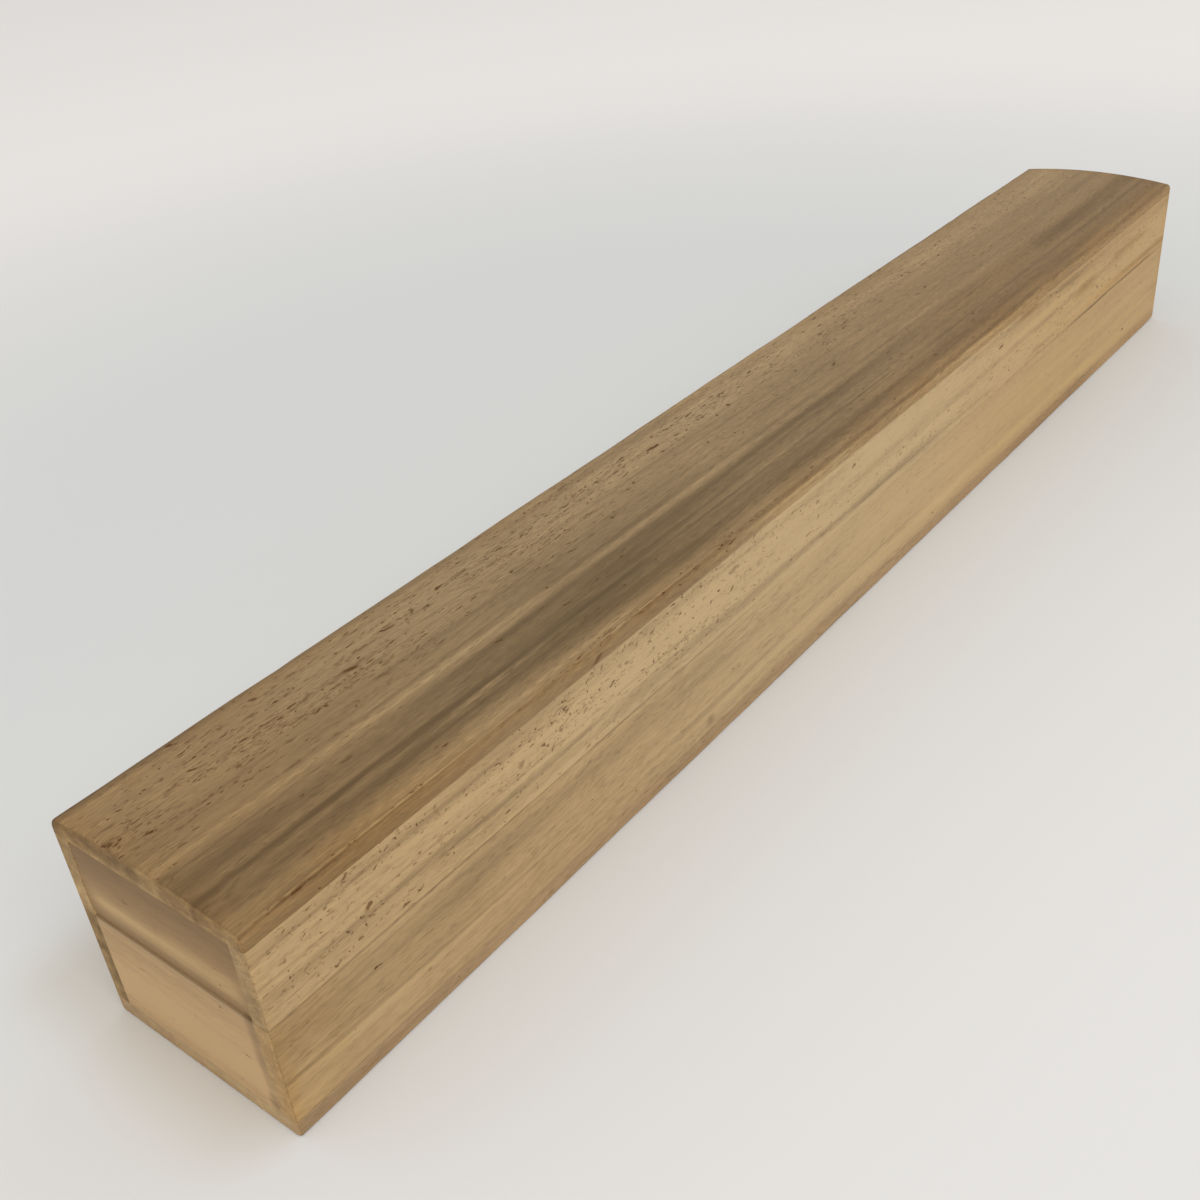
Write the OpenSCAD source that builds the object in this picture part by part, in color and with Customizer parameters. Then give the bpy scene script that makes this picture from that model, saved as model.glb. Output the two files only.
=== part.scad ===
// Paulownia-wood storage box for one rolled hanging scroll.
// A shallow body and a lid of nearly the same depth meet flush at a seam. Two thin lip
// strips inside the body stand up past the seam and locate the lid. Two notched rests
// near the ends carry the ends of the scroll's roller.
// X runs along the box, -Y is the front long side and +Z is up.
// The origin is the middle of the footprint, on the surface that the box stands on.

/* [Box] */
// Outside length of the box
box_l = 564; // [500:1:660]
// Outside width of the box
box_w = 70; // [62:1:84]
// Height of the seam where the lid meets the body
seam_h = 37; // [34:0.5:46]

/* [Body boards] */
// Thickness of the bottom board, which runs under the walls and the end boards
bottom_t = 5.5; // [4:0.5:8]
// Thickness of the front and back walls
wall_t = 5.5; // [5:0.5:8]
// Thickness of the end boards, which stand between the walls
end_t = 6; // [5:0.5:10]
// Radius that eases the bottom board's two long lower edges
bottom_round = 1.2; // [0.5:0.1:2]

/* [Lid] */
// Height of the lid's rails and end boards, from the seam to the top board
rail_h = 25; // [22:0.5:34]
// Thickness of the top board along its two long edges
top_edge_t = 4; // [3:0.5:6]
// Height of the crown above the top board's edges
crown_rise = 2.5; // [1.5:0.1:4]
// Radius that eases the top board's two long upper edges
top_round = 1.3; // [0.5:0.1:2]
// Distance that the lid's end boards lie back from the rails' ends
lid_end_recess = 0.2; // [0.1:0.1:1]
// Height of the bevel along the lower outer edge of the lid's end boards
bevel_h = 3.5; // [2:0.5:6]
// Depth of that bevel at the seam
bevel_depth = 0.5; // [0.2:0.1:1.5]

/* [Lip strips] */
// Thickness of the two lip strips
lip_t = 3; // [2:0.5:4]
// Height of the lip strips above the seam
lip_rise = 7; // [5:0.5:10]
// Clearance between a lip strip and the lid, on each side
lid_clearance = 0.25; // [0.2:0.05:0.4]
// Size of the lead-in chamfer along a lip strip's upper outer edge
lip_chamfer = 0.8; // [0.4:0.1:1.2]

/* [Scroll rests] */
// Thickness of each rest, along the box
rest_t = 9; // [7:0.5:14]
// Height of each rest above the bottom board
rest_h = 29; // [26:0.5:34]
// Radius of the half-round notch that the roller's end lies in
notch_r = 13.5; // [11:0.5:16]
// Distance from an end board to its rest
pocket_l = 16; // [12:1:26]

/* [Pegs] */
// Radius of a wooden peg
peg_r = 1.2; // [0.9:0.1:1.6]
// Length of a wooden peg
peg_l = 14; // [11:1:18]
// Clearance between a peg and its hole
peg_clearance = 0.02; // [0.01:0.01:0.05]
// Depth of the pegs' ends below the bottom board's lower face
peg_sink = 0.15; // [0.1:0.05:0.4]
// Greatest distance between two pegs along a wall
peg_pitch = 92; // [60:2:140]
// Distance from the box's end to the first peg of a wall
peg_inset = 22; // [14:1:36]
// Distance between the two pegs of an end board
end_peg_gap = 26; // [18:1:32]

/* [Hidden] */
$fn = 96;
// Facets of the whole circle that the crown is a short arc of
CROWN_FN = 720;

FRONT = -1;
BACK = 1;
LEFT = -1;
RIGHT = 1;

half_l = box_l / 2;
half_w = box_w / 2;
inner_w = box_w - 2 * wall_t;
inner_l = box_l - 2 * end_t;
wall_h = seam_h - bottom_t;
rail_t = wall_t - lid_clearance;
top_z = seam_h + rail_h;
edge_z = top_z + top_edge_t;

// The crown is one arc through both upper edges of the top board and its ridge.
crown_r = (half_w * half_w + crown_rise * crown_rise) / (2 * crown_rise);
crown_z = edge_z + crown_rise - crown_r;
// Centre of the round that is tangent to the crown inside and to the board's edge face.
round_y = half_w - top_round;
round_z = crown_z + sqrt(pow(crown_r - top_round, 2) - pow(round_y, 2));

lip_l = inner_l - 2 * lid_clearance;
lip_h = wall_h + lip_rise;
rest_w = inner_w - 2 * lip_t;
rest_x = inner_l / 2 - pocket_l - rest_t / 2;
notch_z = bottom_t + rest_h;

peg_spans = ceil((box_l - 2 * peg_inset) / peg_pitch);
wall_peg_x = [for (i = [0 : peg_spans]) -half_l + peg_inset + i * (box_l - 2 * peg_inset) / peg_spans];
wall_peg_y = half_w - wall_t / 2;
end_peg_x = half_l - end_t / 2;
peg_places = concat(
    [for (x = wall_peg_x, side = [FRONT, BACK]) [x, side * wall_peg_y]],
    [for (end = [LEFT, RIGHT], side = [FRONT, BACK]) [end * end_peg_x, side * end_peg_gap / 2]]
);

PALE_WOOD = [0.76, 0.63, 0.44];
TAN_WOOD = [0.70, 0.57, 0.40];
BROWN_WOOD = [0.62, 0.51, 0.36];
RAW_WOOD = [0.84, 0.74, 0.56];
PEG_WOOD = [0.52, 0.38, 0.24];

// All the peg holes, as rods that the boards are drilled with.
module peg_holes() {
    for (p = peg_places)
        translate([p.x, p.y, -1])
            cylinder(h = peg_l + peg_sink + 1, r = peg_r + peg_clearance);
}

// A straight extrusion along X of a profile drawn in Y and Z.
module along_box(length) {
    translate([-length / 2, 0, 0])
        rotate([90, 0, 90])
            linear_extrude(height = length)
                children();
}

module bottom_board() {
    color(BROWN_WOOD)
        difference() {
            along_box(box_l)
                union() {
                    translate([-half_w, bottom_round])
                        square([box_w, bottom_t - bottom_round]);
                    translate([-half_w + bottom_round, 0])
                        square([box_w - 2 * bottom_round, bottom_t]);
                    for (side = [FRONT, BACK])
                        translate([side * (half_w - bottom_round), bottom_round])
                            circle(r = bottom_round);
                }
            peg_holes();
        }
}

// A long wall of the body, standing on the bottom board.
module wall(side) {
    color(TAN_WOOD)
        difference() {
            translate([-half_l, side * (half_w - wall_t / 2) - wall_t / 2, bottom_t])
                cube([box_l, wall_t, wall_h]);
            peg_holes();
        }
}

// An end board of the body, standing between the two walls.
module end_board(end) {
    color(PALE_WOOD)
        difference() {
            translate([end * (half_l - end_t / 2) - end_t / 2, -inner_w / 2, bottom_t])
                cube([end_t, inner_w, wall_h]);
            peg_holes();
        }
}

// A thin strip glued inside a wall, whose upper part locates the lid.
module lip_strip(side) {
    color(RAW_WOOD)
        mirror([0, side == FRONT ? 1 : 0, 0])
            along_box(lip_l)
                polygon([
                    [inner_w / 2 - lip_t, bottom_t],
                    [inner_w / 2, bottom_t],
                    [inner_w / 2, bottom_t + lip_h - lip_chamfer],
                    [inner_w / 2 - lip_chamfer, bottom_t + lip_h],
                    [inner_w / 2 - lip_t, bottom_t + lip_h]
                ]);
}

// A notched block that carries one end of the roller.
module scroll_rest(end) {
    color(RAW_WOOD)
        difference() {
            translate([end * rest_x - rest_t / 2, -rest_w / 2, bottom_t])
                cube([rest_t, rest_w, rest_h]);
            translate([end * rest_x - rest_t, 0, notch_z])
                rotate([0, 90, 0])
                    cylinder(h = 2 * rest_t, r = notch_r);
        }
}

// Wooden pegs driven up through the bottom board into the walls and end boards.
module bottom_pegs() {
    color(PEG_WOOD)
        for (p = peg_places)
            translate([p.x, p.y, peg_sink])
                cylinder(h = peg_l, r = peg_r);
}

// The crowned top board, which covers the rails and end boards of the lid.
module lid_top_board() {
    color(BROWN_WOOD)
        along_box(box_l)
            union() {
                translate([-half_w, top_z])
                    square([box_w, round_z - top_z]);
                intersection() {
                    translate([0, crown_z])
                        circle(r = crown_r, $fn = CROWN_FN);
                    translate([-round_y, top_z])
                        square([2 * round_y, top_edge_t + crown_rise]);
                }
                for (side = [FRONT, BACK])
                    translate([side * round_y, round_z])
                        circle(r = top_round);
            }
}

// A long rail of the lid, resting on the rim of the wall below it.
module lid_rail(side) {
    color(PALE_WOOD)
        translate([-half_l, side * (half_w - rail_t / 2) - rail_t / 2, seam_h])
            cube([box_l, rail_t, rail_h]);
}

// An end board of the lid, between the two rails. Its bevel gives the fingers a hold.
module lid_end_board(end) {
    outer_x = half_l - lid_end_recess;
    color(TAN_WOOD)
        mirror([end == LEFT ? 1 : 0, 0, 0])
            translate([0, half_w - rail_t, 0])
                rotate([90, 0, 0])
                    linear_extrude(height = box_w - 2 * rail_t)
                        polygon([
                            [half_l - end_t, seam_h],
                            [outer_x - bevel_depth, seam_h],
                            [outer_x, seam_h + bevel_h],
                            [outer_x, top_z],
                            [half_l - end_t, top_z]
                        ]);
}

bottom_board();
wall(FRONT);  // front_wall
wall(BACK);  // back_wall
end_board(LEFT);  // left_end_board
end_board(RIGHT);  // right_end_board
lip_strip(FRONT);  // front_lip_strip
lip_strip(BACK);  // back_lip_strip
scroll_rest(LEFT);  // left_scroll_rest
scroll_rest(RIGHT);  // right_scroll_rest
bottom_pegs();
lid_top_board();
lid_rail(FRONT);  // lid_front_rail
lid_rail(BACK);  // lid_back_rail
lid_end_board(LEFT);  // lid_left_end_board
lid_end_board(RIGHT);  // lid_right_end_board
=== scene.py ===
"""A paulownia box for a rolled hanging scroll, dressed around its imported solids.

Every board is a closed surface worked out on a grid: an outline in the board's cross-section is
carried along its length, with eased and slightly worn arrises, and stands for one solid. The
wood is one family of procedural finishes that read Object coordinates, and each board has its
own streaks, pores and soiling. Lengths are metres, in the frame of the solids: X along the box,
-Y the front, Z up, and the origin in the middle of the footprint.
"""

import math
from typing import NamedTuple

import bpy
import numpy as np
from bpy.props import FloatProperty, FloatVectorProperty, IntProperty, PointerProperty
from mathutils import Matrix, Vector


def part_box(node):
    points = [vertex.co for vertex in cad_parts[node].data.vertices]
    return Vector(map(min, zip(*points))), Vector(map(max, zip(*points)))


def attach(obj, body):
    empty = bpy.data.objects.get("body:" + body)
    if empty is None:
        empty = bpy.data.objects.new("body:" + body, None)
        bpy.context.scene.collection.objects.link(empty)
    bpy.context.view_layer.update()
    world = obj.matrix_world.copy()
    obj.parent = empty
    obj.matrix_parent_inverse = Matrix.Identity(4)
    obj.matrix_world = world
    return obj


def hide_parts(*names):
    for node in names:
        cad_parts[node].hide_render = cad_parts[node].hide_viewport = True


bl_info = {
    "name": "Scroll Box",
    "version": (1, 0, 0),
    "blender": (4, 5, 0),
    "location": "View3D > Sidebar > Scroll Box",
    "description": "Dresses a paulownia scroll box with worn boards, wood finishes and a stage",
    "category": "Add Mesh",
}

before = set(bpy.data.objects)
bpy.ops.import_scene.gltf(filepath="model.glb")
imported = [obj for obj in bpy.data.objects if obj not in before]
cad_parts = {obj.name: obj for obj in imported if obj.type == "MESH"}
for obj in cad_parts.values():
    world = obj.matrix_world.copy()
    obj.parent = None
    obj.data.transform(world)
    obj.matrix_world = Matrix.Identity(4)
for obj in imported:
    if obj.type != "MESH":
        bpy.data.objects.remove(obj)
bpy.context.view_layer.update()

MM = 0.001
BOX_BODY, LID_BODY = "box", "lid"
FRONT, BACK = -1, 1
LEFT, RIGHT = -1, 1
SIDE_NAMES = {FRONT: "front", BACK: "back"}
END_NAMES = {LEFT: "left", RIGHT: "right"}

# Faces of the solids that several boards share
HALF_L, HALF_W, LID_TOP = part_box("lid_top_board")[1]
BOARD_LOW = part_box("lid_top_board")[0].z
SEAM_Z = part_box("front_wall")[1].z
FOOT_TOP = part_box("front_wall")[0].z

# First seeds of the wear, to which each side, end or peg adds its own number
TOP_SEED, RAIL_SEED, WALL_SEED, END_SEED, PEG_SEED = 40, 21, 31, 71, 90
FOOT_SEEDS = (61, 62)
HIGH_ARRIS_SEED = 5

# How unevenly an arris is worn, and over what length
WEAR_SWING = 0.33
WEAR_LENGTH = 0.11

# Shares of the sidebar's sizes that some arrises take
SIDE_DING_SHARE = 0.35
END_DING_SHARE = 0.3
FOOT_END_SHARE = 0.6
LIP_EASE_SHARE = 0.3
PEG_EASE_SHARE = 0.2

# Small shapes that the sidebar doesn't hold
BEVEL_EASE = 1.0 * MM
PEG_CLEARANCE = 0.02 * MM
PEG_STEP = 4 * MM
PEG_TILT = 0.03
CROWN_STEPS = 25
SHARP_ANGLE = math.radians(40)

# Faint relief of the grain
RELIEF_STRENGTH = 0.35
RELIEF_DEPTH = 0.12 * MM

# Floor, lamp, surroundings and camera
FLOOR_REACH = 6.0
FLOOR_DULLNESS = 0.965
FLOOR_SHADE_REACH = 26 * MM
FLOOR_SHADE_SHIFT = (0.0, 20 * MM, 0.0)
KEY_PLACE = (-0.9, -2.0, 2.9)
KEY_SIZE = 2.6
KEY_POWER = 56
KEY_COLOUR = (1.0, 0.99, 0.975)
STUDIO_GREY = 248
STUDIO_STRENGTH = 0.78
CAMERA_PLACE = (-387.13 * MM, -233.41 * MM, 276.54 * MM)
CAMERA_TURN = (57.0814, 4.6756, -52.3655)
CAMERA_LENS = 41.5546
CAMERA_SENSOR = 36
CAMERA_CLIP = 0.01


def srgb(red, green, blue):
    """A colour of 0 to 255 as it looks on a screen, in Blender's linear values."""
    def linear(c):
        return c / 12.92 if c <= 0.04045 else ((c + 0.055) / 1.055) ** 2.4
    return tuple(linear(c / 255) for c in (red, green, blue))


def length_property(label, text, millimetres):
    """A length that the sidebar shows in scene units."""
    return FloatProperty(name=label, description=text, default=millimetres * MM, min=0.0,
                         precision=5, subtype="DISTANCE", unit="LENGTH")


def colour_property(label, text, red, green, blue):
    """A colour picker whose default is given as it looks on a screen."""
    return FloatVectorProperty(name=label, description=text, subtype="COLOR", size=3,
                               min=0.0, max=1.0, default=srgb(red, green, blue))


class ScrollBoxSizes(bpy.types.PropertyGroup):
    """Sizes of the worn edges."""

    edge_height: length_property(
        "Edge height", "Thickness of the top board along its two long edges", 4.0)
    top_ease: length_property(
        "Top arris", "Rounding of the top board's long upper edges", 1.3)
    top_end_ease: length_property(
        "Top end arris", "Rounding of the top board's upper edges at its two ends", 1.2)
    corner_ease: length_property(
        "Upright corner", "Rounding of the four upright corners of the box", 0.8)
    foot_ease: length_property(
        "Foot arris", "Rounding of the bottom board's lower edges", 1.2)
    seam_ease: length_property(
        "Seam arris", "Rounding of each edge where lid and body meet", 0.2)
    inner_ease: length_property(
        "Inner arris", "Rounding of the strips and rests inside the box", 0.35)
    ding_depth: length_property(
        "Dings", "Depth of the deepest small dings along the outer arrises", 0.45)
    bevel_height: length_property(
        "Lid end bevel", "Height of the bevel at the foot of the lid's end boards", 3.5)
    bevel_depth: length_property(
        "Lid end bevel depth", "Depth of that bevel at the seam", 0.5)
    lip_chamfer: length_property(
        "Lip chamfer", "Lead-in chamfer along each lip strip's upper outer edge", 0.8)
    notch_radius: length_property(
        "Rest notch", "Radius of the half-round notch in each rest", 13.5)
    peg_radius: length_property(
        "Peg radius", "Radius of the wooden pegs in the bottom board", 1.2)
    peg_inset: length_property(
        "Peg inset", "Distance from the box's end to the first peg of a wall", 22.0)
    end_peg_gap: length_property(
        "End peg gap", "Distance between the two pegs of an end board", 26.0)
    ring_step: length_property(
        "Ring step", "Distance between two rings of points along a board", 2.0)
    wall_pegs: IntProperty(
        name="Wall pegs", description="Pegs under each long wall", default=7, min=2, max=12)
    arc_steps: IntProperty(
        name="Arc steps", description="Faces round each eased arris", default=5, min=2, max=12)


class ScrollBoxColours(bpy.types.PropertyGroup):
    """Colours of the wood and of the floor."""

    top_wood: colour_property("Top board", "Handled wood of the lid's top board", 147, 122, 86)
    rail_wood: colour_property("Lid rails", "Pale wood of the lid's rails", 192, 165, 123)
    wall_wood: colour_property("Body walls", "Tan wood of the body's walls", 185, 158, 117)
    end_wood: colour_property("Body ends", "Pale boards at the body's ends", 200, 169, 127)
    lid_end_wood: colour_property("Lid ends", "Brown boards at the lid's ends", 160, 131, 92)
    foot_wood: colour_property("Bottom board", "Brown board under the body", 172, 143, 106)
    raw_wood: colour_property("Inside", "Unhandled wood inside the box", 208, 184, 144)
    dark_streak: colour_property("Dark streaks", "Darkest streaks of the heartwood", 84, 64, 38)
    light_streak: colour_property("Light streaks", "Palest streaks of the sapwood", 210, 182, 134)
    pore: colour_property("Pores", "Brown pores and resin specks", 88, 56, 8)
    grime: colour_property("Soiling", "Hand grime along the arrises", 88, 64, 42)
    tan: colour_property("Handling tint", "Warm tint where hands have held it", 252, 236, 208)
    peg_wood: colour_property("Pegs", "Hard wooden pegs", 128, 96, 62)
    floor: colour_property("Floor", "Pale floor under the box", 214, 215, 213)
    far_floor: colour_property("Far floor", "Pale floor away from the box", 238, 234, 231)
    near_floor: colour_property("Near floor", "Floor in the box's own soft shade", 210, 206, 198)


def wave_noise(place, seed, wavelength):
    """Five sines of falling size and rising rate with seeded phases, from about -1 to 1."""
    phases = np.random.default_rng(seed).uniform(0, 2 * np.pi, 5)
    rates = 2 * np.pi / wavelength * np.array([1.0, 1.7, 2.9, 4.3, 6.1])
    shares = np.array([0.40, 0.25, 0.15, 0.12, 0.08])
    return np.sin(np.asarray(place)[..., None] * rates + phases) @ shares


def worn(ease, place, seed, ding_depth, dings=7):
    """An arris's ease along its length: the mean ease, varied by smooth waves, plus dings.

    Each ding is a bell curve, depth * exp(-(distance / reach) squared)."""
    rng = np.random.default_rng(seed)
    centres = rng.uniform(place.min(), place.max(), dings)
    depths = ding_depth * rng.uniform(0.2, 1.0, dings) ** 2
    reaches = rng.uniform(1.2, 3.0, dings) * MM
    bells = np.exp(-(((place[:, None] - centres) / reaches) ** 2)) @ depths
    return ease * (1 + WEAR_SWING * wave_noise(place, seed + 1, WEAR_LENGTH)) + bells


def stations(low, high, end_ease, step, arc_steps):
    """Places along a board: on quarter circles at both ends and evenly between them."""
    if end_ease == 0:
        return np.linspace(low, high, max(2, round((high - low) / step) + 1))
    turn = np.linspace(0, np.pi / 2, arc_steps + 1)
    head = low + end_ease * (1 - np.cos(turn))
    tail = high - end_ease * (1 - np.cos(turn))[::-1]
    middle = np.linspace(head[-1], tail[0], max(3, round((tail[0] - head[-1]) / step)))
    return np.concatenate([head, middle[1:-1], tail])


def inset(distance, ease):
    """How far a face is drawn in at a distance from its end, round a quarter circle.

    The amount is ease - sqrt(ease squared - (ease - distance) squared)."""
    short = np.clip(ease - distance, 0, ease)
    return ease - np.sqrt(np.maximum(ease * ease - short * short, 0))


def end_inset(place, ease):
    """How far a long board is drawn in toward its two ends."""
    return inset(np.minimum(place + HALF_L, HALF_L - place), ease)


def circle(radius, steps=24):
    """Points round a circle: the radius times the cosine and sine of evenly spaced turns."""
    turn = np.linspace(0, 2 * np.pi, steps + 1)[:-1]
    return radius * np.stack([np.cos(turn), np.sin(turn)], -1)


def eased_outline(corners, eases, arc_steps):
    """Closed loops round a polygon, one row a ring, whose eased corners are drawn as parabolas.

    A corner P with ease t is P + t * ((1 - s) squared * p + s squared * q), for s from 0 to 1,
    where p and q are unit steps from P to its two neighbours. A corner without ease is P."""
    count = max(np.size(value) for values in (*corners, eases) for value in values)
    points = np.stack(
        [np.stack([np.broadcast_to(value, count) for value in corner], -1) for corner in corners], 1)
    back = np.roll(points, 1, axis=1) - points
    ahead = np.roll(points, -1, axis=1) - points
    back /= np.linalg.norm(back, axis=-1, keepdims=True)
    ahead /= np.linalg.norm(ahead, axis=-1, keepdims=True)
    turn = np.linspace(0, 1, arc_steps + 1)[None, :, None]
    loop = []
    for k, ease in enumerate(eases):
        if np.max(ease) == 0:
            loop.append(points[:, k, None])
            continue
        reach = np.broadcast_to(ease, count)[:, None, None]
        bend = (1 - turn) ** 2 * back[:, k, None] + turn ** 2 * ahead[:, k, None]
        loop.append(points[:, k, None] + reach * bend)
    return np.concatenate(loop, axis=1)


AXIS_ORDER = {"X": [0, 1, 2], "Y": [2, 0, 1], "Z": [1, 2, 0]}


def carried(place, outlines, axis="X"):
    """A closed tube: each outline, (ring, point, 2), stands at its place along an axis.

    The outline's two coordinates follow the axis in turn: Y and Z along X, Z and X along Y, and
    X and Y along Z. It runs counter-clockwise, so the faces point outwards. Both ends are capped."""
    count, points, _ = outlines.shape
    along = np.broadcast_to(place[:, None, None], (count, points, 1))
    rings = np.concatenate([along, outlines], -1)[..., AXIS_ORDER[axis]]
    index = np.arange(count * points).reshape(count, points)
    after = np.roll(index, -1, axis=1)
    quads = np.stack([index[:-1], after[:-1], after[1:], index[1:]], -1).reshape(-1, 4)
    caps = [index[0, ::-1].tolist(), index[-1].tolist()]
    return rings.reshape(-1, 3), quads.tolist() + caps


def rectangle(low_u, high_u, low_v, high_v):
    """Four corners in counter-clockwise order."""
    return [(low_u, low_v), (high_u, low_v), (high_u, high_v), (low_u, high_v)]


def mirrored(corners, eases, side):
    """The outline as given for side 1, or turned over in its second coordinate for side -1."""
    if side > 0:
        return corners, eases
    return [(u, -v) for u, v in reversed(corners)], list(reversed(eases))


def put_in_scene(name, data):
    """A new object for a mesh, a lamp or a camera, linked to the scene."""
    made = bpy.data.objects.new(name, data)
    bpy.context.scene.collection.objects.link(made)
    return made


def new_object(name, surfaces):
    """One object whose mesh holds all the given surfaces."""
    vertices, faces, offset = [], [], 0
    for points, polygons in surfaces:
        vertices.append(points)
        faces += [[i + offset for i in polygon] for polygon in polygons]
        offset += len(points)
    mesh = bpy.data.meshes.new(name)
    mesh.from_pydata(np.concatenate(vertices).tolist(), [], faces)
    return put_in_scene(name, mesh)


def add_piece(name, surfaces, material, body, node):
    """One object from closed surfaces. It rides on its body and stands for one solid."""
    piece = new_object(name, surfaces)
    piece.data.shade_smooth()
    piece.data.set_sharp_from_angle(angle=SHARP_ANGLE)
    piece.data.materials.append(material)
    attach(piece, body)
    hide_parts(node)
    return piece


def add_board(name, surface, material, body, node):
    """One board, with its broad faces kept flat."""
    even_shading(add_piece(name, [surface], material, body, node))


def even_shading(piece):
    """Keeps broad flat faces flat beside their narrow eased arrises."""
    modifier = piece.modifiers.new("Even shading", "WEIGHTED_NORMAL")
    modifier.keep_sharp = True
    modifier.weight = 100


def soften(piece, width):
    """Eases every sharp arris of a small block by the same width."""
    modifier = piece.modifiers.new("Eased arrises", "BEVEL")
    modifier.width = width
    modifier.segments = 2
    modifier.limit_method = "ANGLE"
    modifier.angle_limit = SHARP_ANGLE
    even_shading(piece)


def drill(piece, centres, radius, low, high):
    """Cuts upright round holes right through a board, between two heights."""
    heights = np.array([low, high])
    cutter = new_object("drill", [
        carried(heights, np.stack([circle(radius) + centre] * 2), "Z") for centre in centres])
    modifier = piece.modifiers.new("Peg holes", "BOOLEAN")
    modifier.object = cutter
    modifier.operation = "DIFFERENCE"
    modifier.solver = "EXACT"
    bpy.context.view_layer.objects.active = piece
    bpy.ops.object.modifier_apply(modifier=modifier.name)
    bpy.data.objects.remove(cutter)


def feed(tree, made, values):
    """Sets or links a node's inputs by name or by number."""
    for key, value in values.items():
        if isinstance(value, bpy.types.NodeSocket):
            tree.links.new(value, made.inputs[key])
        else:
            made.inputs[key].default_value = value


def add_node(tree, kind, inputs=None, **settings):
    """A new node with its settings, and its inputs set or linked."""
    made = tree.nodes.new(kind)
    for key, value in settings.items():
        setattr(made, key, value)
    feed(tree, made, inputs or {})
    return made


def calc(tree, operation, *values, clamp=False):
    """One Math node's result."""
    inputs = dict(enumerate(values))
    return add_node(tree, "ShaderNodeMath", inputs, operation=operation, use_clamp=clamp).outputs[0]


def product(tree, first, *others):
    """All the values multiplied together."""
    for value in others:
        first = calc(tree, "MULTIPLY", first, value)
    return first


def shifted(tree, start, pattern, amount, middle=0.5):
    """The start, moved by how far a pattern lies from its middle, times an amount."""
    return calc(tree, "MULTIPLY_ADD", calc(tree, "SUBTRACT", pattern, middle), amount, start)


def vector_calc(tree, operation, *values):
    """One Vector Math node's result: a vector, or a value for a length or a dot product."""
    made = add_node(tree, "ShaderNodeVectorMath", dict(enumerate(values)), operation=operation)
    return made.outputs["Value" if operation in ("LENGTH", "DOT_PRODUCT") else "Vector"]


def axes_of(tree, vector):
    """A vector's three coordinates."""
    return add_node(tree, "ShaderNodeSeparateXYZ", {0: vector}).outputs


def vector_of(tree, *parts):
    """The vector with these three coordinates."""
    return add_node(tree, "ShaderNodeCombineXYZ", dict(enumerate(parts))).outputs[0]


def noise(tree, vector, rates, detail=2.0, roughness=0.55):
    """Noise from 0 to 1 whose rate along each axis is given in cells a metre."""
    return add_node(tree, "ShaderNodeTexNoise", {
        "Vector": vector_calc(tree, "MULTIPLY", vector, rates), "Scale": 1.0, "Detail": detail,
        "Roughness": roughness}).outputs[0]


def ease_between(tree, value, low, high, to_low=0.0, to_high=1.0):
    """A smooth step of a value from one level to another."""
    return add_node(tree, "ShaderNodeMapRange", {
        "Value": value, "From Min": low, "From Max": high, "To Min": to_low, "To Max": to_high},
        interpolation_type="SMOOTHSTEP").outputs[0]


def blend_colour(tree, factor, first, second, kind="MIX"):
    """The first colour at factor 0, and at factor 1 the second or the two multiplied."""
    return add_node(tree, "ShaderNodeMix", {0: factor, 6: first, 7: second}, data_type="RGBA",
                    blend_type=kind).outputs[2]


def opaque(colour):
    """A colour with full alpha, as colour sockets want it."""
    return (*colour, 1.0)


def new_group(name, inputs, outputs):
    """An empty shader node group, its inner inputs and its inner node for the results.

    Its sockets are given as lists of names, one list for each kind."""
    group = bpy.data.node_groups.new(name, "ShaderNodeTree")
    for way, sockets in (("INPUT", inputs), ("OUTPUT", outputs)):
        for kind, labels in sockets.items():
            for label in labels.split(", "):
                group.interface.new_socket(label, in_out=way, socket_type="NodeSocket" + kind)
    source = group.nodes.new("NodeGroupInput").outputs
    return group, source, group.nodes.new("NodeGroupOutput")


def new_finish(name):
    """An empty material with its node tree and its shader."""
    material = bpy.data.materials.new(name)
    material.use_nodes = True
    return material, material.node_tree, material.node_tree.nodes["Principled BSDF"]


def figure_group():
    """Sideways drift of the grain, and the patchy strength and width that break up its streaks.

    The width swells slowly along the board and frays finely at the streak's edges."""
    tree, source, results = new_group(
        "Grain drift", {"Vector": "Vector"}, {"Float": "Drift, Patches, Swell"})
    place = source["Vector"]
    drift = calc(tree, "MULTIPLY_ADD", noise(tree, place, (6, 14, 14), 1.0), 0.008, -0.004)
    drift = calc(tree, "MULTIPLY_ADD", noise(tree, place, (28, 60, 60), 1.0), 0.0012, drift)
    patches = noise(tree, place, (17, 380, 380), 2.0)
    swell = ease_between(tree, noise(tree, place, (11, 60, 60), 1.0), 0.3, 0.7, 0.6, 1.4)
    fray = noise(tree, place, (75, 1100, 1100), 2.0, 0.6)
    fray = ease_between(tree, fray, 0.3, 0.7, -0.28, 0.28)
    feed(tree, results, {
        "Drift": drift, "Patches": ease_between(tree, patches, 0.32, 0.66, 0.35, 1.2),
        "Swell": calc(tree, "ADD", swell, fray)})


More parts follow.
